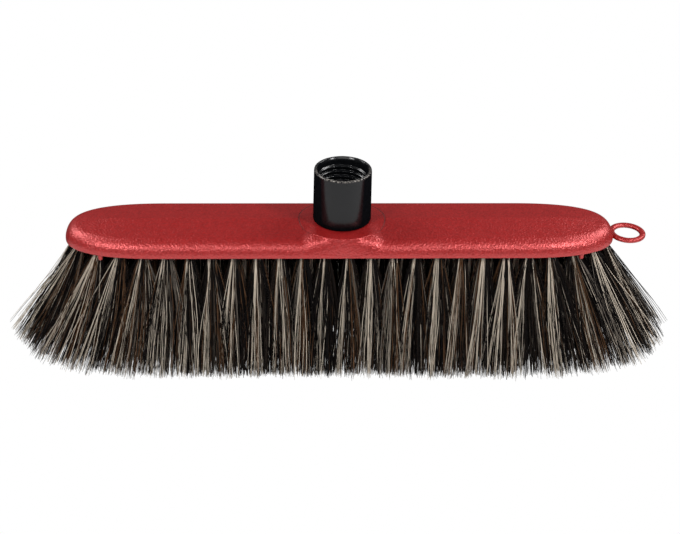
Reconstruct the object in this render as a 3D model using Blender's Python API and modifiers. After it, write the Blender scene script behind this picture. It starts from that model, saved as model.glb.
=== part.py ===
"""Push broom head: a moulded block with a hanging loop, a threaded handle socket
snapped into a round pad on it, and bristle tufts set in drilled holes on the underside.

Metres, +Z up, X along the block, Y across it, -Y is the front.
The origin is on the floor, under the middle of the block, where the bristle tips stand.
"""
import math

import bmesh
import bpy

# ---------------------------------------------------------------- driving dimensions
MM = 0.001

BRISTLE_TRIM = 73.0 * MM        # free bristle length below the block
BLOCK_HEIGHT = 11.0 * MM        # underside of the block to its ridge
BLOCK_LENGTH = 300.0 * MM
BLOCK_WIDTH = 51.0 * MM
END_LENGTH = 55.0 * MM          # length of the rounded end of the outline
END_POWER = 2.5                 # superellipse power of the rounded end
EDGE_RADIUS = 8.0 * MM          # rounding between the top and the side
ROOF_DROP = 1.7 * MM            # how far the top falls from the ridge to the edge rounding
BOTTOM_CHAMFER = 0.8 * MM
RIDGE_HALF_WIDTH = 0.4 * MM

SOCKET_HEIGHT = 30.0 * MM       # above the ridge
SOCKET_RADIUS_TOP = 15.5 * MM
SOCKET_RADIUS_FOOT = 15.8 * MM
RIM_CHAMFER = 0.4 * MM
MOUTH_RADIUS = 13.9 * MM
BORE_RADIUS = 13.2 * MM         # thread root
BORE_DEPTH = 27.0 * MM
BORE_LEAD_IN = 1.4 * MM
THREAD_CREST_RADIUS = 12.2 * MM
THREAD_PITCH = 3.0 * MM
THREAD_TURNS = 7
THREAD_CREST_WIDTH = 0.7 * MM
THREAD_ROOT_WIDTH = 2.2 * MM
WEB_THICKNESS = 2.5 * MM        # floor of the threaded bore
SPIGOT_RADIUS = 12.5 * MM
SPIGOT_BORE_RADIUS = 10.0 * MM
SNAP_RADIUS = 13.7 * MM
SNAP_HEIGHT = 1.4 * MM
SNAP_LEAD = 1.8 * MM
KEY_WIDTH = 3.0 * MM            # keys that stop the socket from turning
KEY_RADIUS = 14.4 * MM

PAD_RADIUS = 23.8 * MM          # flat round pad that the socket stands on
PAD_RISE = 0.1 * MM             # pad above the ridge
PAD_ROUNDING = 0.8 * MM
COUNTERBORE_RADIUS = 14.0 * MM
COUNTERBORE_DEPTH = 4.0 * MM

LOOP_CENTRE_X = 158.6 * MM
LOOP_RADIUS = 8.5 * MM          # to the middle of the ring's section
LOOP_HALF_WIDTH = 1.65 * MM
LOOP_THICKNESS = 2.5 * MM

PEG_X = 129.3 * MM
PEG_Y = 20.2 * MM
PEG_RADIUS = 1.3 * MM
PEG_LENGTH = 3.0 * MM

HOLE_RADIUS = 2.6 * MM          # drilled tuft holes
HOLE_DEPTH = 6.5 * MM
TUFT_ROOT_RADIUS = 2.3 * MM
OUTER_TUFTS = 50
OUTER_PHASE = 0.75              # first tuft's place past the right end, in steps
OUTER_INSET = 6.5 * MM          # outer ring of holes, measured in from the outline
ROW_SPACING = 9.5 * MM
ROW_PITCH = 12.4 * MM
ROW_PHASES = {"front": -0.25, "middle": 0.5, "back": 0.25}    # rows are staggered, in pitches
INNER_END_GAP = 10.5 * MM       # inner rows stop this far short of the outer ring
HUB_KEEP_OUT = 18.0 * MM        # no inner tufts under the socket's snap ring
SPREAD_START = 85.0 * MM        # tufts beyond this X lean outwards along X
SPREAD_POWER = 1.1
END_SPREAD = 37.0 * MM          # tip travel of a tuft at the very end
SIDE_SPREAD = 8.0 * MM          # tip travel of a tuft at the long edge
OUTER_TIP_HALF_DEPTH = 5.0 * MM
INNER_TIP_HALF_DEPTH = 6.1 * MM
INNER_TIP_OVERLAP = 1.13        # inner tufts of a row mingle at their tips

GAP = 0.3 * MM                  # clearance between touching pieces
OUTLINE_STEPS = 22              # segments of one rounded end
ROUND_STEPS = 28
TUFT_SIDES = 8
HOLE_SIDES = 8
EDGE_STEPS = 6

UNDERSIDE_Z = BRISTLE_TRIM
RIDGE_Z = UNDERSIDE_Z + BLOCK_HEIGHT
MOUTH_Z = RIDGE_Z + SOCKET_HEIGHT
PAD_Z = RIDGE_Z + PAD_RISE
LEDGE_Z = UNDERSIDE_Z + COUNTERBORE_DEPTH
STRAIGHT_HALF = BLOCK_LENGTH / 2 - END_LENGTH


# ---------------------------------------------------------------- scene helpers
def clear_scene():
    """Remove every object, then give the model and its cutters a collection each."""
    for old in list(bpy.data.objects):
        bpy.data.objects.remove(old, do_unlink=True)
    groups = {}
    for name in ("push_broom", "cutters"):
        groups[name] = bpy.data.collections.new(name)
        bpy.context.scene.collection.children.link(groups[name])
    return groups["push_broom"], groups["cutters"]


def plastic(name, colour, roughness, metallic=0.0):
    """A Principled material."""
    material = bpy.data.materials.new(name)
    material.use_nodes = True
    shader = material.node_tree.nodes["Principled BSDF"]
    shader.inputs["Base Color"].default_value = (*colour, 1.0)
    shader.inputs["Roughness"].default_value = roughness
    shader.inputs["Metallic"].default_value = metallic
    return material


def add_object(name, mesh, collection, material=None, parent=None):
    """Link a mesh as a named object and shade its round faces smooth."""
    piece = bpy.data.objects.new(name, mesh)
    collection.objects.link(piece)
    if material:
        mesh.materials.append(material)
        mesh.shade_smooth()
        mesh.set_sharp_from_angle(angle=math.radians(35))
    piece.parent = parent
    return piece


def as_cutter(cutter):
    """Make an object a tool body: drawn as wire, never rendered and never exported."""
    cutter.hide_render = True
    cutter.display_type = "WIRE"
    return cutter


def add_cutter(name, mesh):
    """A tool body from a mesh."""
    return as_cutter(add_object(name, mesh, CUTTERS))


def combine(piece, tool, operation):
    """Cut or join a piece with a tool body."""
    modifier = piece.modifiers.new(tool.name, "BOOLEAN")
    modifier.operation = operation
    modifier.solver = "EXACT"
    modifier.object = tool


def mesh_from(name, build):
    """Run build(bm) on an empty bmesh and return it as a mesh with outward faces."""
    bm = bmesh.new()
    build(bm)
    bmesh.ops.recalc_face_normals(bm, faces=bm.faces)
    mesh = bpy.data.meshes.new(name)
    bm.to_mesh(mesh)
    bm.free()
    return mesh


def loft(bm, rings):
    """Skin a stack of closed rings of equal length and cap both ends."""
    loops = [[bm.verts.new(point) for point in ring] for ring in rings]
    count = len(loops[0])
    for lower, upper in zip(loops, loops[1:]):
        for i in range(count):
            j = (i + 1) % count
            bm.faces.new((lower[i], lower[j], upper[j], upper[i]))
    bm.faces.new(loops[0][::-1])
    bm.faces.new(loops[-1])


def turned(name, profile, collection, material=None, parent=None, steps=ROUND_STEPS):
    """A body of revolution about Z from an (r, z) profile that runs from axis to axis."""
    mesh = bpy.data.meshes.new(name)
    edges = [(i, i + 1) for i in range(len(profile) - 1)]
    mesh.from_pydata([(r, 0.0, z) for r, z in profile], edges, [])
    piece = add_object(name, mesh, collection, None, parent)
    screw = piece.modifiers.new("turn", "SCREW")
    screw.steps = steps
    screw.render_steps = steps
    screw.use_merge_vertices = True
    screw.merge_threshold = 0.00005
    screw.use_smooth_shade = True
    if material:
        mesh.materials.append(material)
    return piece


def turned_cutter(name, profile):
    """A tool body of revolution about Z."""
    return as_cutter(turned(name, profile, CUTTERS))


# ---------------------------------------------------------------- plan outline
def end_point(angle, inset):
    """A point of the right-hand end of the outline; angle runs from -90 to +90 degrees."""
    cosine = max(math.cos(angle), 0.0)
    sine = math.sin(angle)
    x = STRAIGHT_HALF + (END_LENGTH - inset) * cosine ** (2 / END_POWER)
    y = (BLOCK_WIDTH / 2 - inset) * math.copysign(abs(sine) ** (2 / END_POWER), sine)
    return x, y


def outline(inset, steps=OUTLINE_STEPS):
    """The whole outline, anticlockwise from the front right, moved in by inset."""
    angles = [math.pi * (i / steps - 0.5) for i in range(steps + 1)]
    right = [end_point(angle, inset) for angle in angles]
    left = [(-x, -y) for x, y in right]
    return right + left


# ---------------------------------------------------------------- block
def block_section():
    """Inset and height of the block's section, from the underside up to the ridge."""
    slope = math.atan2(ROOF_DROP, BLOCK_WIDTH / 2 - EDGE_RADIUS)
    centre_height = BLOCK_HEIGHT - ROOF_DROP - EDGE_RADIUS
    section = [(BOTTOM_CHAMFER, 0.0), (0.0, BOTTOM_CHAMFER)]
    for i in range(EDGE_STEPS + 1):
        angle = (math.pi / 2 - slope) * i / EDGE_STEPS
        inset = EDGE_RADIUS * (1 - math.cos(angle))
        section.append((inset, centre_height + EDGE_RADIUS * math.sin(angle)))
    section.append((BLOCK_WIDTH / 2 - RIDGE_HALF_WIDTH, BLOCK_HEIGHT))
    return section


def block_body(bm):
    """The block without its holes: the section carried round the outline."""
    rings = []
    for inset, height in block_section():
        rings.append([(x, y, UNDERSIDE_Z + height) for x, y in outline(inset)])
    loft(bm, rings)


def hanging_loop(bm):
    """A flattened ring, flush with the block's underside."""
    section = []
    for i in range(8):
        angle = math.tau * (i + 0.5) / 8
        section.append((LOOP_RADIUS + LOOP_HALF_WIDTH * math.cos(angle) / math.cos(math.pi / 8),
                        LOOP_THICKNESS / 2 * math.sin(angle) / math.cos(math.pi / 8)))
    loops = []
    for k in range(ROUND_STEPS):
        turn = math.tau * (k + 0.5) / ROUND_STEPS
        loops.append([bm.verts.new((LOOP_CENTRE_X + r * math.cos(turn), r * math.sin(turn),
                                    UNDERSIDE_Z + LOOP_THICKNESS / 2 + z)) for r, z in section])
    for k in range(ROUND_STEPS):
        ahead = loops[(k + 1) % ROUND_STEPS]
        for i in range(8):
            j = (i + 1) % 8
            bm.faces.new((loops[k][i], ahead[i], ahead[j], loops[k][j]))


def cylinders(centres, radius, low, high, sides):
    """A build function for upright cylinders at the given centres."""
    def build(bm):
        for x, y in centres:
            rings = []
            for z in (low, high):
                rings.append([(x + radius * math.cos(math.tau * (i + 0.5) / sides),
                               y + radius * math.sin(math.tau * (i + 0.5) / sides), z)
                              for i in range(sides)])
            loft(bm, rings)
    return build


def key_cross(half_width, radius, low, high):
    """A build function for the four socket keys, or their slots, as a plus sign."""
    corners = []
    for quarter in range(4):
        angle = math.pi / 2 * quarter
        for u, v in ((radius, -half_width), (radius, half_width), (half_width, half_width)):
            corners.append((u * math.cos(angle) - v * math.sin(angle),
                            u * math.sin(angle) + v * math.cos(angle)))

    def build(bm):
        loft(bm, [[(x, y, z) for x, y in corners] for z in (low, high)])
    return build


def pad_profile():
    """The round pad, flat on top with a rounded rim; its foot is inside the block."""
    profile = [(0.0, PAD_Z)]
    for i in range(4):
        angle = math.pi / 2 * i / 3
        profile.append((PAD_RADIUS - PAD_ROUNDING * (1 - math.sin(angle)),
                        PAD_Z - PAD_ROUNDING * (1 - math.cos(angle))))
    foot_z = UNDERSIDE_Z + BLOCK_HEIGHT / 4
    return profile + [(PAD_RADIUS, foot_z), (0.0, foot_z)]


def hub_bore_profile():
    """The hole for the socket's spigot and the snap's counterbore."""
    bore = SPIGOT_RADIUS + GAP
    return [(0.0, PAD_Z + 1 * MM), (bore, PAD_Z + 1 * MM),
            (bore, LEDGE_Z), (COUNTERBORE_RADIUS, LEDGE_Z),
            (COUNTERBORE_RADIUS, UNDERSIDE_Z - 1 * MM), (0.0, UNDERSIDE_Z - 1 * MM)]


def make_block(material, parent, hole_centres):
    """The moulded block with its pad, loop, pegs, tuft holes and spigot hole."""
    block = add_object("broom_block", mesh_from("broom_block", block_body), MODEL, material, parent)
    pad = as_cutter(turned("pad", pad_profile(), CUTTERS, steps=2 * ROUND_STEPS))
    combine(block, pad, "UNION")
    combine(block, add_cutter("loop_ring", mesh_from("loop_ring", hanging_loop)), "UNION")
    peg_centres = [(sx * PEG_X, sy * PEG_Y) for sx in (-1, 1) for sy in (-1, 1)]
    pegs = cylinders(peg_centres, PEG_RADIUS, UNDERSIDE_Z - PEG_LENGTH, UNDERSIDE_Z + 1 * MM, 12)
    combine(block, add_cutter("pegs", mesh_from("pegs", pegs)), "UNION")
    holes = cylinders(hole_centres, HOLE_RADIUS, UNDERSIDE_Z - 1 * MM,
                      UNDERSIDE_Z + HOLE_DEPTH, HOLE_SIDES)
    combine(block, add_cutter("tuft_holes", mesh_from("tuft_holes", holes)), "DIFFERENCE")
    combine(block, turned_cutter("hub_bore", hub_bore_profile()), "DIFFERENCE")
    slots = key_cross(KEY_WIDTH / 2 + GAP, KEY_RADIUS + GAP, LEDGE_Z - 1 * MM, PAD_Z + 1 * MM)
    combine(block, add_cutter("key_slots", mesh_from("key_slots", slots)), "DIFFERENCE")


# ---------------------------------------------------------------- socket
def socket_profile():
    """Threaded sleeve above, snap-in spigot below, from the bore's floor round to its web."""
    foot_z = PAD_Z + GAP
    bore_floor_z = MOUTH_Z - BORE_DEPTH
    snap_top = LEDGE_Z - GAP
    snap_low = snap_top - SNAP_HEIGHT
    return [(0.0, bore_floor_z), (BORE_RADIUS, bore_floor_z),
            (BORE_RADIUS, MOUTH_Z - BORE_LEAD_IN), (MOUTH_RADIUS, MOUTH_Z - RIM_CHAMFER),
            (MOUTH_RADIUS + RIM_CHAMFER, MOUTH_Z), (SOCKET_RADIUS_TOP - RIM_CHAMFER, MOUTH_Z),
            (SOCKET_RADIUS_TOP, MOUTH_Z - RIM_CHAMFER), (SOCKET_RADIUS_FOOT, foot_z),
            (SPIGOT_RADIUS, foot_z), (SPIGOT_RADIUS, snap_top), (SNAP_RADIUS, snap_top),
            (SNAP_RADIUS, snap_low), (SPIGOT_RADIUS - GAP, snap_low - SNAP_LEAD),
            (SPIGOT_BORE_RADIUS, snap_low - SNAP_LEAD),
            (SPIGOT_BORE_RADIUS, bore_floor_z - WEB_THICKNESS),
            (0.0, bore_floor_z - WEB_THICKNESS)]


def thread_ridge(bm):
    """One helical ridge on the bore's wall, fading into it at both ends."""
    buried = BORE_RADIUS + 2 * GAP
    start_z = MOUTH_Z - BORE_DEPTH + THREAD_PITCH
    count = THREAD_TURNS * ROUND_STEPS
    fade = ROUND_STEPS // 4
    rings = []
    for k in range(count + 1):
        turn = math.tau * k / ROUND_STEPS
        rise = min(1.0, (min(k, count - k) + 1) / fade)
        crest = BORE_RADIUS - (BORE_RADIUS - THREAD_CREST_RADIUS) * rise
        middle = start_z + THREAD_PITCH * k / ROUND_STEPS
        corners = ((buried, -THREAD_ROOT_WIDTH / 2), (crest, -THREAD_CREST_WIDTH / 2),
                   (crest, THREAD_CREST_WIDTH / 2), (buried, THREAD_ROOT_WIDTH / 2))
        rings.append([(r * math.cos(turn), r * math.sin(turn), middle + z) for r, z in corners])
    loft(bm, rings)


def make_socket(material, parent):
    """The handle socket: turned sleeve, helical thread and anti-rotation keys."""
    socket = turned("handle_socket", socket_profile(), MODEL, material, parent)
    combine(socket, add_cutter("thread", mesh_from("thread", thread_ridge)), "UNION")
    key_top = PAD_Z + 1 * MM
    keys = key_cross(KEY_WIDTH / 2, KEY_RADIUS, LEDGE_Z + GAP, key_top)
    cross = add_cutter("keys", mesh_from("keys", keys))
    hollow_radius = SPIGOT_BORE_RADIUS + 1 * MM
    hollow = [(0.0, key_top + 1 * MM), (hollow_radius, key_top + 1 * MM),
              (hollow_radius, LEDGE_Z), (0.0, LEDGE_Z)]
    combine(cross, turned_cutter("key_hollow", hollow), "DIFFERENCE")
    combine(socket, cross, "UNION")


# ---------------------------------------------------------------- tufts
def outer_root_centres():
    """Hole centres of the outer ring, evenly spaced along it, from the right end round."""
    path = outline(OUTER_INSET, 400)
    nose = 200
    path = path[nose:] + path[:nose + 1]
    lengths = [0.0]
    for (x0, y0), (x1, y1) in zip(path, path[1:]):
        lengths.append(lengths[-1] + math.hypot(x1 - x0, y1 - y0))
    step = lengths[-1] / OUTER_TUFTS
    centres = []
    segment = 0
    for k in range(OUTER_TUFTS):
        along = (k + OUTER_PHASE) * step
        while lengths[segment + 1] < along:
            segment += 1
        part = (along - lengths[segment]) / (lengths[segment + 1] - lengths[segment])
        (x0, y0), (x1, y1) = path[segment], path[segment + 1]
        centres.append((x0 + (x1 - x0) * part, y0 + (y1 - y0) * part))
    return centres


def inner_row_centres(row):
    """Hole centres of one inner row, which leaves out the socket's place."""
    y = {"front": -ROW_SPACING, "middle": 0.0, "back": ROW_SPACING}[row]
    reach = BLOCK_LENGTH / 2 - OUTER_INSET - INNER_END_GAP
    if y != 0:
        reach -= 0.5 * ROW_PITCH
    count = int(reach / ROW_PITCH) + 1
    places = [(k + ROW_PHASES[row]) * ROW_PITCH for k in range(-count - 1, count + 2)]
    return [(x, y) for x in places if abs(x) <= reach and math.hypot(x, y) > HUB_KEEP_OUT]


def tip_centre(root):
    """Where a tuft's middle ends: tufts splay across the block, and along it at the ends."""
    x, y = root
    past = max(0.0, abs(x) - SPREAD_START) / (BLOCK_LENGTH / 2 - OUTER_INSET - SPREAD_START)
    travel = END_SPREAD * past ** SPREAD_POWER
    tip_x = x + math.copysign(travel, x)
    tip_y = y + SIDE_SPREAD * y / (BLOCK_WIDTH / 2 - OUTER_INSET)
    tip_z = BRISTLE_TRIM - math.sqrt(max(BRISTLE_TRIM ** 2 - travel ** 2, 0.0))
    return tip_x, tip_y, tip_z


def tuft_rings(root, along, half_along, half_across):
    """Rings of one tuft: round in its hole, then splaying to an oval at the tip."""
    direction = math.atan2(along[1], along[0])
    tip_x, tip_y, tip_z = tip_centre(root)
    rings = []
    for z in (UNDERSIDE_Z + HOLE_DEPTH - GAP, UNDERSIDE_Z):
        rings.append([(root[0] + TUFT_ROOT_RADIUS * math.cos(direction + math.tau * i / TUFT_SIDES),
                       root[1] + TUFT_ROOT_RADIUS * math.sin(direction + math.tau * i / TUFT_SIDES),
                       z) for i in range(TUFT_SIDES)])
    tip = []
    for i in range(TUFT_SIDES):
        angle = math.tau * i / TUFT_SIDES
        u = half_along * math.cos(angle)
        v = half_across * math.sin(angle)
        tip.append((tip_x + u * math.cos(direction) - v * math.sin(direction),
                    tip_y + u * math.sin(direction) + v * math.cos(direction), tip_z))
    rings.append(tip)
    return rings


def make_outer_tufts(material, parent, roots):
    """One object for each tuft of the outer ring."""
    tips = [tip_centre(root) for root in roots]
    for k, root in enumerate(roots):
        before = tips[k - 1]
        after = tips[(k + 1) % len(tips)]
        along = (after[0] - before[0], after[1] - before[1])
        nearest = min(math.dist(tips[k][:2], before[:2]), math.dist(tips[k][:2], after[:2]))
        rings = tuft_rings(root, along, nearest / 2 - GAP, OUTER_TIP_HALF_DEPTH)
        name = f"outer_tuft_{k + 1:02d}"
        add_object(name, mesh_from(name, lambda bm, r=rings: loft(bm, r)), MODEL, material, parent)


def row_tufts(roots):
    """A build function for every other tuft of a row, which don't touch each other."""
    def build(bm):
        for root, spacing in roots:
            loft(bm, tuft_rings(root, (1.0, 0.0), spacing / 2 * INNER_TIP_OVERLAP,
                                INNER_TIP_HALF_DEPTH))
    return build


def make_inner_row(name, material, parent, roots):
    """Half of an inner row: its tufts mingle at their tips, so they are one solid."""
    tips = [tip_centre(root)[0] for root in roots]
    sized = []
    for k, root in enumerate(roots):
        gaps = [abs(tips[k] - tips[n]) for n in (k - 1, k + 1) if 0 <= n < len(tips)]
        sized.append((root, max(gaps)))
    row = add_object(name, mesh_from(name, row_tufts(sized[::2])), MODEL, material, parent)
    between = mesh_from(name + "_between", row_tufts(sized[1::2]))
    combine(row, add_cutter(name + "_between", between), "UNION")


# ---------------------------------------------------------------- assembly
MODEL, CUTTERS = clear_scene()


def main():
    """Build every piece under one empty."""
    red = plastic("red_plastic", (0.30, 0.022, 0.022), 0.42)
    black = plastic("black_plastic", (0.006, 0.006, 0.007), 0.25)
    bristle = plastic("bristle", (0.035, 0.027, 0.020), 0.55)
    broom = bpy.data.objects.new("push_broom_head", None)
    MODEL.objects.link(broom)

    outer = outer_root_centres()
    rows = {row: inner_row_centres(row) for row in ROW_PHASES}
    inner = [root for row in rows.values() for root in row]
    make_block(red, broom, outer + inner)
    make_socket(black, broom)
    make_outer_tufts(bristle, broom, outer)
    for row, roots in rows.items():
        for side, sign in (("left", -1), ("right", 1)):
            half = [root for root in roots if root[0] * sign > 0]
            make_inner_row(f"inner_tufts_{row}_{side}", bristle, broom, half)


main()
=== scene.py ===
"""The push broom head as it looks: moulded red block, glossy black socket and real bristles.

Metres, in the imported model's own frame: +Z up, X along the block, -Y is the front.
The origin is on the floor, under the middle of the block, where the bristle tips stand.
"""
import math

import bmesh
import bpy
import numpy as np
from mathutils import Matrix, Vector


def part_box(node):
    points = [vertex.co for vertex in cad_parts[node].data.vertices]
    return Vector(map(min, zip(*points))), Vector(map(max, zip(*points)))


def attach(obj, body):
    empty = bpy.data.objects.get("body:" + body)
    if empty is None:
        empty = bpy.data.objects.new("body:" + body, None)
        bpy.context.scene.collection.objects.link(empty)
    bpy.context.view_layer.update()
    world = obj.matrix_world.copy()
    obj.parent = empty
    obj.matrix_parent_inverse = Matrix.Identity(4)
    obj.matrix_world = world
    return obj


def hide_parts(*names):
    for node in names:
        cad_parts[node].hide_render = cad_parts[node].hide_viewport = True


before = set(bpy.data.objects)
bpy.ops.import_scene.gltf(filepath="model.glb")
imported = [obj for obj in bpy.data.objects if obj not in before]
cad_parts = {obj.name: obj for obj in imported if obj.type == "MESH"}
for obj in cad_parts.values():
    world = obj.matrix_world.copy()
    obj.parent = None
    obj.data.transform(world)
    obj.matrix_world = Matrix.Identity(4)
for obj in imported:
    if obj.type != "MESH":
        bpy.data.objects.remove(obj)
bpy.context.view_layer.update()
MM = 0.001
MERGE_DISTANCE = 2e-6
SHORTEST_EDGE = 1e-7

# ---------------------------------------------------------------- driving dimensions
UNDERSIDE_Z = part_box("broom_block")[0][2] + 3.0 * MM    # the pegs reach 3 mm below it
SOCKET_TOP_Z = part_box("handle_socket")[1][2]
BLOCK_HEIGHT = 11.0 * MM        # underside of the block to its ridge
BLOCK_LENGTH = 300.0 * MM
BLOCK_WIDTH = 51.0 * MM
HALF_WIDTH = BLOCK_WIDTH / 2
END_LENGTH = 55.0 * MM          # length of the rounded end of the outline
END_POWER = 2.5                 # superellipse power of the rounded end
STRAIGHT_HALF = BLOCK_LENGTH / 2 - END_LENGTH
EDGE_RADIUS = 8.0 * MM          # rounding between the top and the side
ROOF_DROP = 1.7 * MM            # how far the top falls from the ridge to the edge rounding
RIDGE_ROUNDING = 0.4 * MM
BOTTOM_ROUNDING = 0.8 * MM

PAD_RADIUS = 23.8 * MM          # flat round pad that the socket stands on
PAD_RISE = 0.1 * MM             # pad above the ridge
PAD_LIP = 0.6 * MM              # rounding of the pad's rim, crisp at the front only
PAD_SKIRT = 11.0 * MM           # beside the front the pad slopes down to the top over this width
PAD_BACK_START = 14.5 * MM      # at the back the pad falls to the top from here outwards
GROOVE_RADIUS = 23.45 * MM      # fine line round the pad, which fades out at the front
GROOVE_DEPTH = 0.12 * MM
GROOVE_HALF_WIDTH = 0.34 * MM
CIRCLE_RADIUS = 24.8 * MM       # outermost true circle of the pad's mesh
PATCH_HALF = 30.0 * MM          # the hub's own stretch of mesh, along X
PATCH_STEPS = 80                # mesh steps along that stretch
EDGE_TURN = 84.4                # degrees of the edge rounding that the fine mesh rows cover
SINK_DEPTH = 0.45 * MM          # the front shoulder sinks beside the pad
SINK_FULL = 26.0 * MM
SINK_END_RIGHT = 50.0 * MM
SINK_END_LEFT = 42.0 * MM

LOOP_CENTRE_X = 158.6 * MM
LOOP_RADIUS = 8.5 * MM
LOOP_HALF_WIDTH = 1.65 * MM
LOOP_THICKNESS = 2.5 * MM
LOOP_POWER = 0.8                # 1 is an oval section and less is squarer
PEG_X = 129.3 * MM
PEG_Y = 20.2 * MM
PEG_RADIUS = 1.3 * MM
PEG_LENGTH = 3.0 * MM

SOCKET_RADIUS_TOP = 15.5 * MM
SOCKET_RADIUS_FOOT = 15.8 * MM
MOUTH_RADIUS = 13.9 * MM
BORE_RADIUS = 13.2 * MM
BORE_DEPTH = 27.0 * MM
BORE_LEAD_IN = 1.4 * MM
RIM_DEPTH = 1.2 * MM            # the rim's rounded top stretch
RIM_FLAWS = 14                  # waves that add up to the rim's small flaws
RIM_FLAW_OUT = 0.10 * MM
RIM_FLAW_DOWN = 0.12 * MM
THREAD_CREST_RADIUS = 12.2 * MM
THREAD_PITCH = 3.0 * MM
THREAD_TURNS = 7
THREAD_CREST_HALF = 0.35 * MM
THREAD_ROOT_HALF = 1.1 * MM
WEB_THICKNESS = 2.5 * MM
SPIGOT_RADIUS = 12.5 * MM
SPIGOT_BORE_RADIUS = 10.0 * MM
SNAP_RADIUS = 13.7 * MM
SNAP_HEIGHT = 1.4 * MM
SNAP_LEAD = 1.8 * MM
KEY_WIDTH = 3.0 * MM
KEY_RADIUS = 14.4 * MM
COUNTERBORE_RADIUS = 14.0 * MM
COUNTERBORE_DEPTH = 4.0 * MM
GAP = 0.3 * MM                  # between the socket and the block
OVERLAP = 1.0 * MM              # cutters and joined shapes reach this far past a surface
SOCKET_SIDES = 192
CORNER_STEPS = 5                # segments round each corner of the socket's profile

HOLE_RADIUS = 2.6 * MM
HOLE_DEPTH = 5.4 * MM
TUFT_ROOT_RADIUS = 2.3 * MM
OUTER_TUFTS = 50
OUTER_PHASE = 0.75              # first tuft's place past the right end, in steps
OUTER_INSET = 6.5 * MM
ROW_SPACING = 9.5 * MM
ROW_PITCH = 12.4 * MM
ROW_PHASES = {"front": -0.25, "middle": 0.5, "back": 0.25}    # rows are staggered, in pitches
INNER_END_GAP = 10.5 * MM
HUB_KEEP_OUT = 18.0 * MM
SPREAD_START = 85.0 * MM
SPREAD_POWER = 1.1
END_SPREAD = 37.0 * MM
RIGHT_EXTRA = 5.0 * MM          # the right-hand tufts are trimmed longer
RIGHT_START = 20.0 * MM         # from here
RIGHT_STRETCH = 110.0 * MM      # growing over this length of the block
SIDE_SPREAD = 10.5 * MM
OUTER_TIP_SHARE = 0.71          # half a ring tuft's width at the tips, in gaps between tips
INNER_TIP_SHARE = 0.6
OUTER_TIP_HALF_DEPTH = 5.0 * MM
INNER_TIP_HALF_DEPTH = 6.1 * MM

RIDGE_Z = UNDERSIDE_Z + BLOCK_HEIGHT
PAD_Z = RIDGE_Z + PAD_RISE
LEDGE_Z = UNDERSIDE_Z + COUNTERBORE_DEPTH
BRISTLE_TRIM = UNDERSIDE_Z

# ---------------------------------------------------------------- bristle fibres
FIBRE_STEPS = 9                 # segments along one fibre
CLUMPS_PER_TUFT = 38
FIBRES_PER_CLUMP = 7
CLUMP_JITTER = 0.07             # in the tuft's unit disc
WIDEST_TIP = 1.5                # farthest tip from the tuft's middle, in its unit disc
END_START = 105.0 * MM          # tufts past this count more and more as the block's end
STRAY_SHARE = 0.04              # fibres that stick out at the right end
STRAY_REACH = 6.0 * MM
LEFT_PULL = 4.5 * MM            # the left end's tips stay this much nearer to the block
SWAP_SHARE = 0.22               # fibres that don't have their clump's kind
LONE_SHARE = 0.055              # single beige fibres among the others
SHORT_SHARE = 0.05              # fibres worn or broken short
SHORT_LEAST = 2.0 * MM
SHORT_MOST = 9.0 * MM
TRIM_SCATTER = 0.4 * MM         # unevenness of the trim, between clumps and between fibres
FLOOR_SCATTER = 0.5 * MM        # and of tips that would reach below the floor
LOOSE_SHARE = 0.6               # fibres that leave their clump on the way down
LOOSE_BEIGE_SHARE = 0.3
LOOSE_SCATTER = 0.34            # how far they do, in the tuft's unit disc
TIGHT_SCATTER = 0.06            # and how far the others do
CLUMP_SCATTER = 0.20            # how far a clump's tips move away from its root's place
ROOT_SCATTER = 0.10
ROOT_FILL = 0.88                # share of the hole that the clumps fill
FLARE_POWER = 1.8               # fibres spread early in their fall, more so with a higher power
BEIGE_FLARE_POWER = 1.15
WOBBLES = (                     # size, fewest and most half waves, shared by a clump or not
    (0.65 * MM, 0.6, 1.6, True),
    (0.38 * MM, 0.8, 2.4, False),
    (0.13 * MM, 3.0, 6.0, False),
)
FIBRE_KINDS = {                 # colour, roughness, radius
    "bristle_black": ((0.003, 0.002, 0.002), 0.45, 0.19 * MM),
    "bristle_dark": ((0.011, 0.007, 0.005), 0.48, 0.19 * MM),
    "bristle_brown": ((0.100, 0.050, 0.024), 0.50, 0.17 * MM),
    "bristle_grey": ((0.124, 0.105, 0.087), 0.48, 0.17 * MM),
    "bristle_beige": ((0.520, 0.450, 0.365), 0.50, 0.19 * MM),
}
BEIGE = 4                       # place of the palest kind, which forms a bundle of its own
BEIGE_SIDE = np.array([-0.42, -0.80])       # middle of that bundle, in the tuft's unit disc
BEIGE_CLUMPS = 2
EXTRA_BEIGE_CHANCE = 0.7        # of one more beige clump further in
CLUMP_SHARES = (0.54, 0.27, 0.11, 0.08)     # of the other kinds, in the order above

# ---------------------------------------------------------------- looks
RED_DARK = (0.175, 0.005, 0.005)
RED_LIGHT = (0.251, 0.008, 0.008)
RED_SHADOW = (0.020, 0.002, 0.002)          # in the witness line
BLACK_DARK = (0.0022, 0.0024, 0.0030)
BLACK_LIGHT = (0.0038, 0.0041, 0.0050)
# painted highlight: pale speckled glints painted into the colour of the rim's front
RIM_GLINT_PAINT = (0.17, 0.155, 0.14)
GLINT_PAINT_START = 0.9 * MM           # the painted highlight starts this far below the rim's top
GLINT_PAINT_FULL = 0.3 * MM            # and is full from here up
GLINT_PAINT_BACK_Y = 4.0 * MM          # there is none on the rim's back
GLINT_PAINT_FRONT_Y = -8.0 * MM        # and it is full from here to the front
FOOT_START = 2.0 * MM           # the socket is dull up to here above the pad
FOOT_END = 5.0 * MM             # and has its full gloss from here up
WALL_GLOSS = 0.26               # specular level of the socket's wall, seen square on
RIM_GLOSS = 0.8

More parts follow.
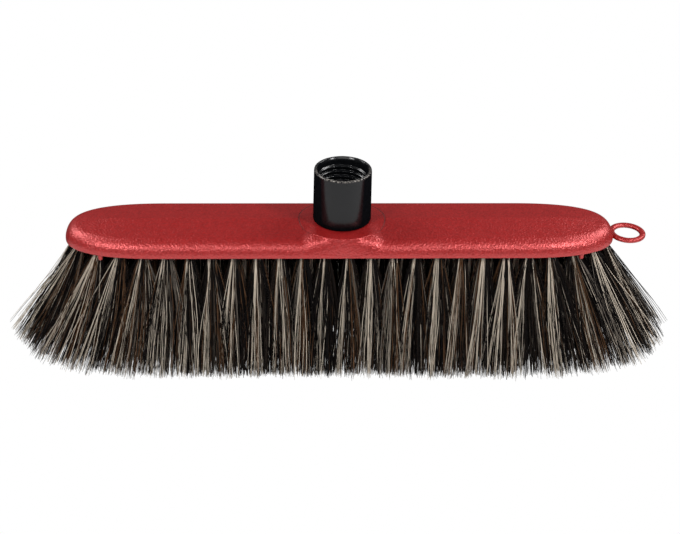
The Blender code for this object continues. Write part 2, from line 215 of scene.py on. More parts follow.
FLOOR_HALF = 0.8                # half the side of the square floor
FLOOR_FADE = 0.08               # the floor darkens over this length behind the broom's middle
FLOOR_FRONT = (0.88, 0.88, 0.88)
FLOOR_BACK = (0.06, 0.06, 0.06)
WORLD_STRENGTH = 0.07
LIGHTS = {                      # azimuth and elevation in degrees, distance, size, watts
    "front_left": (-43, 42, 1.3, (0.22, 0.22), 6.8),
    "front_right": (50, 42, 1.3, (0.22, 0.22), 9.6),
    "front_strip": (0, 44, 1.3, (0.9, 0.32), 3.8),
    "back_left": (-112, 42, 1.3, (0.65, 0.65), 9.0),
    "back_right": (112, 42, 1.3, (0.65, 0.65), 9.0),
    "back_panel": (180, 30, 1.6, (1.6, 0.7), 0.55),
}
LIGHT_TARGET = (0.0, 0.0, 0.07)
CAMERA_TARGET = (-0.0004, 0.0, 0.0524)
CAMERA_DISTANCE = 0.70
CAMERA_YAW = -2.88              # degrees; negative is left of the front
CAMERA_ELEVATION = 31.69
CAMERA_ROLL = 1.35
CAMERA_LENS = 66.3              # in mm, on a sensor 36 mm wide
SENSOR_WIDTH = 36.0


# ---------------------------------------------------------------- helpers
def link(name, mesh, *materials):
    """A named object for a mesh, in the scene."""
    piece = bpy.data.objects.new(name, mesh)
    bpy.context.scene.collection.objects.link(piece)
    for material in materials:
        mesh.materials.append(material)
    return piece


def smoothstep(value):
    """0 below 0, 1 above 1, smooth between."""
    value = min(max(value, 0.0), 1.0)
    return value * value * (3 - 2 * value)


class Sheets:
    """Collects grids of points that share their borders, and makes one mesh of them."""

    def __init__(self):
        self.bm = bmesh.new()

    def grid(self, rows, closed=False):
        """Skin rows of equal length; a closed grid joins each row's end to its start."""
        verts = [[self.bm.verts.new(point) for point in row] for row in rows]
        count = len(verts[0])
        for lower, upper in zip(verts, verts[1:]):
            for i in range(count if closed else count - 1):
                j = (i + 1) % count
                self.bm.faces.new((lower[i], lower[j], upper[j], upper[i]))
        return verts

    def cap(self, ring):
        """Close a ring with one flat face."""
        self.bm.faces.new(ring)

    def mesh(self, name):
        """Merge the shared borders, turn the faces outwards and return the mesh."""
        bmesh.ops.remove_doubles(self.bm, verts=self.bm.verts, dist=MERGE_DISTANCE)
        bmesh.ops.dissolve_degenerate(self.bm, edges=self.bm.edges, dist=SHORTEST_EDGE)
        bmesh.ops.recalc_face_normals(self.bm, faces=self.bm.faces)
        mesh = bpy.data.meshes.new(name)
        self.bm.to_mesh(mesh)
        self.bm.free()
        return mesh


def combined(piece, steps):
    """Apply Boolean steps (operation, tool mesh) to a piece's mesh, one after another."""
    for number, (operation, mesh) in enumerate(steps):
        tool = link(f"{piece.name}_tool_{number}", mesh)
        modifier = piece.modifiers.new(tool.name, "BOOLEAN")
        modifier.operation = operation
        modifier.solver = "EXACT"
        modifier.object = tool
    bpy.context.view_layer.update()
    result = bpy.data.meshes.new_from_object(
        piece.evaluated_get(bpy.context.evaluated_depsgraph_get()))
    for modifier in list(piece.modifiers):
        tool = modifier.object
        piece.modifiers.remove(modifier)
        bpy.data.objects.remove(tool, do_unlink=True)
    result.name = piece.data.name
    piece.data = result


def circle(radius, z, count, centre):
    """A ring of points."""
    angles = [math.tau * i / count for i in range(count)]
    return [(centre[0] + radius * math.cos(a), centre[1] + radius * math.sin(a), z) for a in angles]


def posts(centres, profile, sides):
    """Upright turned posts, from a (radius, z) profile that runs upwards."""
    sheets = Sheets()
    for centre in centres:
        rings = sheets.grid([circle(r, z, sides, centre) for r, z in profile], closed=True)
        sheets.cap(rings[0])
        sheets.cap(rings[-1])
    return sheets.mesh("posts")


# ---------------------------------------------------------------- outline and tuft layout
def end_point(angle, inset):
    """A point of the right-hand end of the outline; angle runs from -90 to +90 degrees."""
    cosine = max(math.cos(angle), 0.0)
    sine = math.sin(angle)
    x = STRAIGHT_HALF + (END_LENGTH - inset) * cosine ** (2 / END_POWER)
    y = (HALF_WIDTH - inset) * math.copysign(abs(sine) ** (2 / END_POWER), sine)
    return x, y


def outline(inset, steps):
    """The whole outline, anticlockwise from the front right, moved in by inset."""
    right = [end_point(math.pi * (i / steps - 0.5), inset) for i in range(steps + 1)]
    return right + [(-x, -y) for x, y in right]


def outer_root_centres():
    """Hole centres of the outer ring, evenly spaced along it, from the right end round."""
    path = outline(OUTER_INSET, 400)
    path = path[200:] + path[:201]
    lengths = [0.0]
    for (x0, y0), (x1, y1) in zip(path, path[1:]):
        lengths.append(lengths[-1] + math.hypot(x1 - x0, y1 - y0))
    step = lengths[-1] / OUTER_TUFTS
    centres = []
    segment = 0
    for k in range(OUTER_TUFTS):
        along = (k + OUTER_PHASE) * step
        while lengths[segment + 1] < along:
            segment += 1
        part = (along - lengths[segment]) / (lengths[segment + 1] - lengths[segment])
        (x0, y0), (x1, y1) = path[segment], path[segment + 1]
        centres.append((x0 + (x1 - x0) * part, y0 + (y1 - y0) * part))
    return centres


def inner_row_centres(row):
    """Hole centres of one inner row, which leaves out the socket's place."""
    y = {"front": -ROW_SPACING, "middle": 0.0, "back": ROW_SPACING}[row]
    reach = BLOCK_LENGTH / 2 - OUTER_INSET - INNER_END_GAP
    if y != 0:
        reach -= 0.5 * ROW_PITCH
    count = int(reach / ROW_PITCH) + 1
    places = [(k + ROW_PHASES[row]) * ROW_PITCH for k in range(-count - 1, count + 2)]
    return [(x, y) for x in places if abs(x) <= reach and math.hypot(x, y) > HUB_KEEP_OUT]


def tip_centre(root):
    """Where a tuft's middle ends, in plan: splayed across the block, and along it at the ends."""
    x, y = root
    past = max(0.0, abs(x) - SPREAD_START) / (BLOCK_LENGTH / 2 - OUTER_INSET - SPREAD_START)
    travel = END_SPREAD * past ** SPREAD_POWER
    return x + math.copysign(travel, x), y + SIDE_SPREAD * y / (HALF_WIDTH - OUTER_INSET)


# ---------------------------------------------------------------- block
def sink(x, y):
    """How far the front shoulder sinks beside the pad."""
    if y >= 0:
        return 0.0
    end = SINK_END_RIGHT if x > 0 else SINK_END_LEFT
    return SINK_DEPTH * smoothstep((end - abs(x)) / (end - SINK_FULL))


def roof_z(x, y, inset):
    """Height of the block's roof-shaped top with its rounded shoulders, in the frame."""
    drop = ROOF_DROP + sink(x, y)
    radius = EDGE_RADIUS - 0.7 * (drop - ROOF_DROP)
    slope = math.atan2(drop, HALF_WIDTH - radius)
    if inset < radius * (1 - math.sin(slope)):
        centre = BLOCK_HEIGHT - drop - radius
        return UNDERSIDE_Z + centre + math.sqrt(radius ** 2 - (radius - inset) ** 2)
    from_ridge = math.hypot(HALF_WIDTH - inset, RIDGE_ROUNDING) - RIDGE_ROUNDING
    return RIDGE_Z - math.tan(slope) * from_ridge


def top_z(x, y, inset):
    """Height of the block's top surface with the round pad, in the frame."""
    roof = roof_z(x, y, inset)
    radius = math.hypot(x, y)
    if radius > PAD_RADIUS + PAD_SKIRT:
        return roof
    toward_back = y / radius if radius > 0 else 0.0
    back = smoothstep((toward_back + 0.86) / 0.40)      # 0 at the front, 1 beside and behind
    crisp = smoothstep((-toward_back - 0.72) / 0.14)    # 1 at the front, 0 beside and behind
    to_edge = radius * (HALF_WIDTH / max(abs(y), 1 * MM) - 1) if inset < HALF_WIDTH else PAD_SKIRT
    skirt = min(PAD_SKIRT, 0.9 * (to_edge + radius - PAD_RADIUS)) * (1 - back) + 0.1 * MM
    inner = PAD_RADIUS + (PAD_BACK_START - PAD_RADIUS) * back
    past = min(max((radius - inner) / (PAD_RADIUS + skirt - inner), 0.0), 1.0)
    share = 1 - smoothstep(past) * (1 - crisp) - past * crisp
    lip = min(max((radius - PAD_RADIUS + PAD_LIP) / PAD_LIP, 0.0), 1.0)
    lip_drop = 0.5 * PAD_LIP * crisp * (1 - math.sqrt(1 - lip * lip)) * share
    across = (radius - GROOVE_RADIUS) / GROOVE_HALF_WIDTH
    groove = GROOVE_DEPTH * smoothstep((toward_back + 0.55) / 0.5) * max(0.0, 1 - across * across)
    return roof + (PAD_Z - roof) * share - lip_drop - groove


def section_insets():
    """Insets of the top's mesh rows, close together where the edge curves."""
    insets = [EDGE_RADIUS * (1 - math.cos(math.radians(EDGE_TURN) * i / 24)) for i in range(25)]
    left = HALF_WIDTH - insets[-1]
    insets += [insets[-1] + left * i / 10 for i in range(1, 10)]
    return insets + [HALF_WIDTH - 0.8 * MM, HALF_WIDTH - 0.35 * MM, HALF_WIDTH]


def right_ring(inset):
    """The outline to the right of the hub's patch, from the front round to the back."""
    xs = np.linspace(PATCH_HALF, STRAIGHT_HALF, 30)
    half = HALF_WIDTH - inset
    ring = [(x, -half) for x in xs]
    ring += [end_point(math.pi * (i / 110 - 0.5), inset) for i in range(1, 110)]
    return ring + [(x, half) for x in xs[::-1]]


def patch_border():
    """The hub patch's rectangle, anticlockwise from its front left corner."""
    xs = np.linspace(-PATCH_HALF, PATCH_HALF, PATCH_STEPS + 1)
    insets = section_insets()
    ys = [inset - HALF_WIDTH for inset in insets] + [HALF_WIDTH - inset for inset in insets[-2::-1]]
    border = [(x, -HALF_WIDTH) for x in xs[:-1]]
    border += [(PATCH_HALF, y) for y in ys[:-1]]
    border += [(x, HALF_WIDTH) for x in xs[:0:-1]]
    return border + [(-PATCH_HALF, y) for y in ys[:0:-1]]


def hub_rows(border):
    """Rows of the hub's mesh, from the patch's border in over the round pad."""
    angles = [math.atan2(y, x) for x, y in border]
    rows = []
    for i in range(17):
        inwards = (i / 16) ** 2
        row = []
        for (bx, by), a in zip(border, angles):
            x = bx + (CIRCLE_RADIUS * math.cos(a) - bx) * inwards
            y = by + (CIRCLE_RADIUS * math.sin(a) - by) * inwards
            row.append((x, y, top_z(x, y, HALF_WIDTH - abs(y))))
        rows.append(row)
    radii = [GROOVE_RADIUS + GROOVE_HALF_WIDTH * k / 4 for k in range(-4, 5)]
    radii += [PAD_RADIUS - PAD_LIP * k / 6 for k in range(8)]
    radii += [radius * MM for radius in (22, 21, 20, 19, 18, 17, 16, 12, 6)]
    for radius in sorted(radii, reverse=True):
        ring = [(radius * math.cos(a), radius * math.sin(a)) for a in angles]
        rows.append([(x, y, top_z(x, y, HALF_WIDTH - abs(y))) for x, y in ring])
    return rows


def whole_ring(inset):
    """The full outline at an inset, through the hub patch's front and back edges."""
    half = HALF_WIDTH - inset
    xs = np.linspace(-PATCH_HALF, PATCH_HALF, PATCH_STEPS + 1)[1:-1]
    half_ring = right_ring(inset) + [(x, half) for x in xs[::-1]]
    return half_ring + [(-x, -y) for x, y in half_ring]


def block_skin():
    """The block's outer surface and the round pad, as one closed mesh."""
    sheets = Sheets()
    insets = section_insets()
    rings = [right_ring(inset) for inset in insets]
    for side in (1, -1):
        sheets.grid([[(side * x, side * y, top_z(side * x, side * y, inset)) for x, y in ring]
                     for ring, inset in zip(rings, insets)])
    rows = sheets.grid(hub_rows(patch_border()), closed=True)
    sheets.cap(rows[-1])
    walls = []
    for step in range(7):
        turn = math.radians(15 * step)
        inset = BOTTOM_ROUNDING * (1 - math.sin(turn))
        z = UNDERSIDE_Z + BOTTOM_ROUNDING * (1 - math.cos(turn))
        walls.append([(x, y, z) for x, y in whole_ring(inset)])
    walls.append([(x, y, top_z(x, y, 0.0)) for x, y in whole_ring(0.0)])
    bottom = sheets.grid(walls, closed=True)
    sheets.cap(bottom[0])
    return sheets.mesh("block_moulding")


def squared(value):
    """A cosine or sine made fuller, for a section between a circle and a square."""
    return math.copysign(abs(value) ** LOOP_POWER, value)


def loop_ring():
    """The hanging loop: a flattened ring flush with the block's underside."""
    sheets = Sheets()
    rows = []
    for k in range(97):
        turn = math.tau * k / 96
        row = []
        for i in range(20):
            angle = math.tau * i / 20
            r = LOOP_RADIUS + LOOP_HALF_WIDTH * squared(math.cos(angle))
            z = LOOP_THICKNESS / 2 * (1 + squared(math.sin(angle)))
            row.append((LOOP_CENTRE_X + r * math.cos(turn), r * math.sin(turn), UNDERSIDE_Z + z))
        rows.append(row)
    sheets.grid(rows, closed=True)
    return sheets.mesh("loop_ring")


def key_cross(half_width, radius, low, high):
    """The four socket keys, or their slots, as a plus sign."""
    corners = []
    for quarter in range(4):
        angle = math.pi / 2 * quarter
        for u, v in ((radius, -half_width), (radius, half_width), (half_width, half_width)):
            corners.append((u * math.cos(angle) - v * math.sin(angle),
                            u * math.sin(angle) + v * math.cos(angle)))
    sheets = Sheets()
    rings = sheets.grid([[(x, y, z) for x, y in corners] for z in (low, high)], closed=True)
    sheets.cap(rings[0])
    sheets.cap(rings[-1])
    return sheets.mesh("key_cross")


def make_block(material, roots):
    """The moulded block with its pad, loop, pegs and drilled holes."""
    block = link("block_moulding", block_skin(), material)
    peg_centres = [(sx * PEG_X, sy * PEG_Y) for sx in (-1, 1) for sy in (-1, 1)]
    peg_foot = UNDERSIDE_Z - PEG_LENGTH
    peg_profile = [(0.55 * PEG_RADIUS, peg_foot), (0.85 * PEG_RADIUS, peg_foot + 0.25 * MM),
                   (PEG_RADIUS, peg_foot + 0.8 * MM), (PEG_RADIUS, UNDERSIDE_Z + OVERLAP)]
    hole_profile = [(HOLE_RADIUS, UNDERSIDE_Z - OVERLAP), (HOLE_RADIUS, UNDERSIDE_Z + HOLE_DEPTH),
                    (0.1 * HOLE_RADIUS, UNDERSIDE_Z + HOLE_DEPTH + 0.3 * MM)]
    bore = SPIGOT_RADIUS + GAP
    bore_profile = [(COUNTERBORE_RADIUS, UNDERSIDE_Z - OVERLAP), (COUNTERBORE_RADIUS, LEDGE_Z),
                    (bore, LEDGE_Z), (bore, PAD_Z + OVERLAP)]
    combined(block, [
        ("UNION", loop_ring()),
        ("UNION", posts(peg_centres, peg_profile, 20)),
        ("DIFFERENCE", posts(roots, hole_profile, 20)),
        ("DIFFERENCE", posts([(0.0, 0.0)], bore_profile, 96)),
        ("DIFFERENCE", key_cross(KEY_WIDTH / 2 + GAP, KEY_RADIUS + GAP, LEDGE_Z - OVERLAP,
                                 PAD_Z + OVERLAP)),
    ])
    block.data.shade_smooth()
    block.data.set_sharp_from_angle(angle=math.radians(32))
    for face in block.data.polygons:
        if abs(face.normal.z) > 0.9999:
            face.use_smooth = False
    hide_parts("broom_block")
    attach(block, "root")


# ---------------------------------------------------------------- socket
def thread_rise(angle, z):
    """How far the thread stands in from the bore's wall at a place on it."""
    start_z = SOCKET_TOP_Z - BORE_DEPTH + THREAD_PITCH
    turns = (z - start_z) / THREAD_PITCH
    nearest = round(turns - angle / math.tau) + angle / math.tau
    fade = smoothstep(min(nearest, THREAD_TURNS - nearest) * 4 + 0.5)
    off = abs(turns - nearest) * THREAD_PITCH
    flank = (THREAD_ROOT_HALF - off) / (THREAD_ROOT_HALF - THREAD_CREST_HALF)
    return (BORE_RADIUS - THREAD_CREST_RADIUS) * fade * smoothstep(flank)


def rounded(profile, radius):
    """Replace each inner corner of an (r, z) profile by a short arc-like curve."""
    result = [profile[0]]
    for before, corner, after in zip(profile, profile[1:], profile[2:]):
        a, b, c = Vector(before), Vector(corner), Vector(after)
        cut = min(radius, (a - b).length * 0.45, (c - b).length * 0.45)
        start = b + (a - b).normalized() * cut
        end = b + (c - b).normalized() * cut
        for i in range(CORNER_STEPS + 1):
            t = i / CORNER_STEPS
            point = start * (1 - t) ** 2 + b * 2 * t * (1 - t) + end * t ** 2
            result.append((point.x, point.y))
    return result + [profile[-1]]


def socket_rows():
    """(radius, z, on_thread, on_rim) rows of the socket, from the bore's floor over the rim."""
    bore_floor = SOCKET_TOP_Z - BORE_DEPTH
    foot_z = PAD_Z + GAP
    snap_top = LEDGE_Z - GAP
    snap_low = snap_top - SNAP_HEIGHT
    rows = [(0.3 * MM, bore_floor, False, False), (BORE_RADIUS * 0.96, bore_floor, False, False)]
    wall_top = SOCKET_TOP_Z - BORE_LEAD_IN
    for z in np.linspace(bore_floor + 0.4 * MM, wall_top, 150):
        rows.append((BORE_RADIUS, float(z), True, False))
    rim = [(BORE_RADIUS, wall_top), (MOUTH_RADIUS, SOCKET_TOP_Z - 0.35 * MM),
           (MOUTH_RADIUS + 0.25 * MM, SOCKET_TOP_Z), (SOCKET_RADIUS_TOP - 0.1 * MM, SOCKET_TOP_Z),
           (SOCKET_RADIUS_TOP, SOCKET_TOP_Z - RIM_DEPTH)]
    rows += [(r, z, False, True) for r, z in rounded(rim, 0.56 * MM)[1:-1]]
    outside = [(SOCKET_RADIUS_TOP, SOCKET_TOP_Z - RIM_DEPTH), (SOCKET_RADIUS_FOOT, foot_z),
               (SPIGOT_RADIUS, foot_z), (SPIGOT_RADIUS, snap_top), (SNAP_RADIUS, snap_top),
               (SNAP_RADIUS, snap_low), (SPIGOT_RADIUS - GAP, snap_low - SNAP_LEAD),
               (SPIGOT_BORE_RADIUS, snap_low - SNAP_LEAD),
               (SPIGOT_BORE_RADIUS, bore_floor - WEB_THICKNESS),
               (0.3 * MM, bore_floor - WEB_THICKNESS)]
    rows += [(r, z, False, False) for r, z in rounded(outside, 0.5 * MM)]
    return rows


def socket_grid():
    """The socket's rings of points, with its thread and with small flaws along its rim."""
    rng = np.random.RandomState(7)
    phases = rng.uniform(0, math.tau, RIM_FLAWS)
    sizes = rng.uniform(0.2, 1.0, RIM_FLAWS)
    waves = rng.randint(5, 60, RIM_FLAWS)
    grid = []
    for radius, z, on_thread, on_rim in socket_rows():
        row = []
        for i in range(SOCKET_SIDES):
            angle = math.tau * i / SOCKET_SIDES
            r = radius
            height = z
            if on_thread:
                r -= thread_rise(angle, z)
            if on_rim:
                ripple = float(np.sum(sizes * np.sin(waves * angle + phases))) / RIM_FLAWS
                r += RIM_FLAW_OUT * ripple
                height -= RIM_FLAW_DOWN * abs(ripple)
            row.append((r * math.cos(angle), r * math.sin(angle), height))
        grid.append(row)
    return grid


def make_socket(material):
    """The threaded handle socket with its spigot, snap ring and keys."""
    sheets = Sheets()
    rings = sheets.grid(socket_grid(), closed=True)
    sheets.cap(rings[0])
    sheets.cap(rings[-1])
    socket = link("socket_moulding", sheets.mesh("socket_moulding"), material)
    keys = link("keys", key_cross(KEY_WIDTH / 2, KEY_RADIUS, LEDGE_Z + GAP, PAD_Z + OVERLAP))
    hollow_radius = SPIGOT_BORE_RADIUS + OVERLAP
    hollow = posts([(0.0, 0.0)], [(hollow_radius, LEDGE_Z), (hollow_radius, PAD_Z + 2 * OVERLAP)], 64)
    combined(keys, [("DIFFERENCE", hollow)])
    combined(socket, [("UNION", keys.data)])
    bpy.data.objects.remove(keys, do_unlink=True)
    socket.data.shade_smooth()
    socket.data.set_sharp_from_angle(angle=math.radians(40))
    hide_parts("handle_socket")
    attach(socket, "root")


# ---------------------------------------------------------------- bristles
def clump_places(rng):
    """Places of a tuft's clumps in a unit disc, evenly spread with some jitter."""
    k = np.arange(CLUMPS_PER_TUFT)
    radius = np.sqrt((k + 0.5) / CLUMPS_PER_TUFT)
    angle = k * math.pi * (3 - math.sqrt(5)) + rng.uniform(0, math.tau)
    places = np.stack([radius * np.cos(angle), radius * np.sin(angle)], 1)
    return places + rng.normal(0, CLUMP_JITTER, places.shape)


def clump_kinds(rng, places):
    """A kind for each clump; those nearest to the beige side are the tuft's pale bundle."""
    kinds = rng.choice(len(CLUMP_SHARES), len(places), p=CLUMP_SHARES)
    order = np.argsort(np.hypot(*(places - BEIGE_SIDE).T))
    kinds[order[:BEIGE_CLUMPS]] = BEIGE
    if rng.uniform() < EXTRA_BEIGE_CHANCE:
        kinds[order[rng.randint(BEIGE_CLUMPS + 1, CLUMPS_PER_TUFT // 2 + 1)]] = BEIGE
    return kinds


def fibre_kinds(rng, clump_kind):
    """A kind for each fibre, mostly its clump's own."""
    count = len(clump_kind)
    swapped = (rng.uniform(size=count) < SWAP_SHARE) & (clump_kind != BEIGE)
    kind = np.where(swapped, rng.choice(len(CLUMP_SHARES), count, p=CLUMP_SHARES), clump_kind)
    lone = rng.uniform(size=count) < LONE_SHARE
    return np.where(lone, BEIGE, kind)


def fibre_places(rng, places, clump, kind):
    """Places of each fibre's root and tip in a unit disc; loose fibres leave their clump."""
    count = len(clump)
    roots = places[clump] * ROOT_FILL + rng.normal(0, ROOT_SCATTER, (count, 2))
    tips = places[clump] + rng.normal(0, CLUMP_SCATTER, (CLUMPS_PER_TUFT, 2))[clump]
    loose = rng.uniform(size=count) < np.where(kind == BEIGE, LOOSE_BEIGE_SHARE, LOOSE_SHARE)
    tips += rng.normal(0, np.where(loose, LOOSE_SCATTER, TIGHT_SCATTER)[:, None], (count, 2))
    tips /= np.maximum(np.hypot(*tips.T) / WIDEST_TIP, 1.0)[:, None]
    return roots, tips


def end_share(x):
    """0 up to the block's end stretch and 1 at the end itself."""
    return smoothstep((x - END_START) / (BLOCK_LENGTH / 2 - END_START))


def fibre_ends(rng, root, tuft_axes, tip_sizes, disc_places):
    """Each fibre's start in its hole and its end at the tips, in plan."""
    along, across = tuft_axes
    half_along, half_across = tip_sizes
    roots, tips = disc_places
    start = np.array(root) + TUFT_ROOT_RADIUS * (roots[:, :1] * along + roots[:, 1:] * across)
    end = np.array(tip_centre(root)) + half_along * tips[:, :1] * along
    end = end + half_across * tips[:, 1:] * across
    stray = rng.uniform(size=len(roots)) < STRAY_SHARE * end_share(root[0])
    outwards = rng.uniform(2 * MM, STRAY_REACH, len(roots)) * stray
    end = end + outwards[:, None] * (end - start) / np.hypot(*(end - start).T)[:, None]
    end[:, 0] += LEFT_PULL * end_share(-root[0])
    return start, end


def fibre_drops(rng, root, travel, clump):
    """How far each fibre hangs below the block, from its trimmed length and its travel."""
    count = len(clump)
    length = BRISTLE_TRIM + RIGHT_EXTRA * smoothstep((root[0] - RIGHT_START) / RIGHT_STRETCH)
    length -= np.abs(rng.normal(0, TRIM_SCATTER, CLUMPS_PER_TUFT))[clump]
    length = length - np.abs(rng.normal(0, TRIM_SCATTER, count))
    short = rng.uniform(size=count) < SHORT_SHARE
    length -= np.where(short, rng.uniform(SHORT_LEAST, SHORT_MOST, count), 0.0)
    drop = np.sqrt(np.maximum(length ** 2 - travel ** 2, 0.0))
    to_floor = UNDERSIDE_Z - 0.1 * MM - np.abs(rng.normal(0, FLOOR_SCATTER, count))
    return np.minimum(drop, to_floor)


def tuft_paths(rng, root, direction, half_along, half_across):
    """Centre lines and kinds of one tuft's fibres."""
    places = clump_places(rng)
    kinds = clump_kinds(rng, places)
    clump = np.repeat(np.arange(CLUMPS_PER_TUFT), FIBRES_PER_CLUMP)
    count = len(clump)
    kind = fibre_kinds(rng, kinds[clump])
    discs = fibre_places(rng, places, clump, kind)
    along = np.array([math.cos(direction), math.sin(direction)])
    across = np.array([-along[1], along[0]])
    start, end = fibre_ends(rng, root, (along, across), (half_along, half_across), discs)
    drop = fibre_drops(rng, root, np.hypot(*(end - start).T), clump)

    t = np.linspace(0, 1, FIBRE_STEPS)[None, :, None]
    power = np.where(kind == BEIGE, BEIGE_FLARE_POWER, FLARE_POWER)[:, None, None]
    flare = 1 - (1 - t) ** power
    lean = 0.9 * t + 0.1 * t ** 2
    shift = np.array(tip_centre(root)) - np.array(root)
    plan = start[:, None] + shift * lean + (end - start - shift)[:, None] * flare
    plan = plan + wobble(rng, clump, count, t)
    z = UNDERSIDE_Z - drop[:, None, None] * t
    below = np.concatenate([plan, z], 2)
    hidden = np.concatenate([start[:, None], np.full((count, 1, 1), UNDERSIDE_Z + 5 * MM)], 2)
    return np.concatenate([hidden, below], 1), kind


def wobble(rng, clump, count, t):
    """Sideways waves and kinks: slow ones that a clump shares, and finer ones of each fibre."""
    total = np.zeros((count, t.shape[1], 2))
    for size, low, high, shared in WOBBLES:
        number = CLUMPS_PER_TUFT if shared else count
        amount = rng.normal(0, size, (number, 1, 2))
        waves = rng.uniform(low, high, (number, 1, 2))
        phase = rng.uniform(0, math.tau, (number, 1, 2))
        wave = amount * (np.sin(math.pi * waves * t + phase) - np.sin(phase)) * np.minimum(2 * t, 1)
        total += wave[clump] if shared else wave
    return total


def tube_mesh(name, paths, kinds):
    """Three-sided tubes along the paths, each with its kind's radius and material slot."""
    count, points = paths.shape[:2]
    tangent = np.gradient(paths, axis=1)
    tangent /= np.linalg.norm(tangent, axis=2, keepdims=True)
    side = np.cross(tangent, np.array([0.0, 1.0, 0.0]))
    side /= np.linalg.norm(side, axis=2, keepdims=True)
    other = np.cross(tangent, side)
    radius = np.array([kind[2] for kind in FIBRE_KINDS.values()])[kinds][:, None, None]
    taper = np.linspace(1.0, 0.8, points)[None, :, None]
    taper[0, -1, 0] = 0.5
    corners = []
    for i in range(3):
        angle = math.tau * i / 3
        corners.append(paths + radius * taper * (side * math.cos(angle) + other * math.sin(angle)))
    verts = np.stack(corners, 2).reshape(-1, 3)
    first = (np.arange(count) * points * 3)[:, None, None]
    ring = (np.arange(points - 1) * 3)[None, :, None]
    corner = np.arange(3)[None, None, :]
    ahead = (corner + 1) % 3
    base = first + ring
    quads = np.stack([base + corner, base + ahead, base + 3 + ahead, base + 3 + corner], 3)
    end = (first + (points - 1) * 3)[:, :, 0]
    caps = np.concatenate([first[:, :, 0] + np.array([2, 1, 0]), end + np.array([0, 1, 2])])
    mesh = bpy.data.meshes.new(name)
    mesh.from_pydata(verts.tolist(), [], quads.reshape(-1, 4).tolist() + caps.tolist())
    slots = np.concatenate([np.repeat(kinds, (points - 1) * 3), kinds, kinds]).astype(np.int32)
    mesh.polygons.foreach_set("material_index", slots)
    mesh.shade_smooth()
    mesh.update()
    return mesh


def make_tufts(name, node, tufts, materials, seed):
    """One piece that replaces a CAD node of tufts by its real fibres."""
    rng = np.random.RandomState(seed)
    parts = [tuft_paths(rng, *tuft) for tuft in tufts]
    paths = np.concatenate([part[0] for part in parts])
    kinds = np.concatenate([part[1] for part in parts])
    piece = link(name, tube_mesh(name, paths, kinds), *materials)
    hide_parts(node)
    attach(piece, "root")


def make_outer_tufts(roots, materials):
    """The ring of tufts along the block's edge, one piece for each."""
    tips = [tip_centre(root) for root in roots]
    for k, root in enumerate(roots):
        before = tips[k - 1]
        after = tips[(k + 1) % len(tips)]
        direction = math.atan2(after[1] - before[1], after[0] - before[0])
        nearest = min(math.dist(tips[k], before), math.dist(tips[k], after))
        name = f"outer_tuft_{k + 1:02d}"
        tuft = (root, direction, OUTER_TIP_SHARE * nearest, OUTER_TIP_HALF_DEPTH)
        make_tufts(name + "_bristles", name, [tuft], materials, 100 + k)


def make_inner_rows(rows, materials):
    """The three inner rows, one piece for each half row."""
    for row, (name, roots) in enumerate(rows.items()):
        for side, sign in (("left", -1), ("right", 1)):
            half = [root for root in roots if root[0] * sign > 0]
            tips = [tip_centre(root)[0] for root in half]
            tufts = []
            for k, root in enumerate(half):
                gaps = [abs(tips[k] - tips[n]) for n in (k - 1, k + 1) if 0 <= n < len(tips)]
                tufts.append((root, 0.0, INNER_TIP_SHARE * max(gaps), INNER_TIP_HALF_DEPTH))
            node = f"inner_tufts_{name}_{side}"
            make_tufts(node + "_bristles", node, tufts, materials, 200 + 2 * row + (sign > 0))


# ---------------------------------------------------------------- materials
def principled(name):
    """A new material with its node tree and Principled shader."""
    material = bpy.data.materials.new(name)
    material.use_nodes = True
    return material, material.node_tree, material.node_tree.nodes["Principled BSDF"]


def noise(tree, scale, detail=3.0, roughness=0.55):
    """A noise texture in object space, which is the frame's metres."""
    place = tree.nodes.new("ShaderNodeTexCoord")
    texture = tree.nodes.new("ShaderNodeTexNoise")
    texture.inputs["Scale"].default_value = scale
    texture.inputs["Detail"].default_value = detail
    texture.inputs["Roughness"].default_value = roughness
    tree.links.new(place.outputs["Object"], texture.inputs["Vector"])
    return texture.outputs["Fac"]


def ramp(tree, factor, stops):
    """A colour ramp from (position, colour) stops."""
    node = tree.nodes.new("ShaderNodeValToRGB")
    elements = node.color_ramp.elements
    while len(elements) < len(stops):
        elements.new(0.5)
    for element, (position, colour) in zip(elements, stops):
        element.position = position
        element.color = (*colour, 1.0)
    tree.links.new(factor, node.inputs["Fac"])
    return node.outputs["Color"]


def mapped(tree, value, low, high, first=0.0, last=1.0):
    """Map low to high onto first to last, level outside it."""
    node = tree.nodes.new("ShaderNodeMapRange")
    node.inputs["From Min"].default_value = low
    node.inputs["From Max"].default_value = high
    node.inputs["To Min"].default_value = first
    node.inputs["To Max"].default_value = last
    tree.links.new(value, node.inputs["Value"])
    return node.outputs["Result"]


def spread(tree, factor, first, last):
    """Map a noise factor, which stays near a half, onto a range of numbers."""
    return mapped(tree, factor, 0.3, 0.7, first, last)


def along_axis(tree, vector, axis):
    """One axis of a vector."""
    axes = tree.nodes.new("ShaderNodeSeparateXYZ")
    tree.links.new(vector, axes.inputs["Vector"])
    return axes.outputs[axis]


def beyond(tree, axis, low, high):
    """0 up to the first place along an axis of the object and 1 past the second."""
    place = tree.nodes.new("ShaderNodeTexCoord")
    return mapped(tree, along_axis(tree, place.outputs["Object"], axis), low, high)


def joined(tree, operation, first, second):
    """Two factors joined by a Math node's operation, such as MULTIPLY or MAXIMUM."""
    node = tree.nodes.new("ShaderNodeMath")
    node.operation = operation
    tree.links.new(first, node.inputs[0])
    tree.links.new(second, node.inputs[1])
    return node.outputs["Value"]


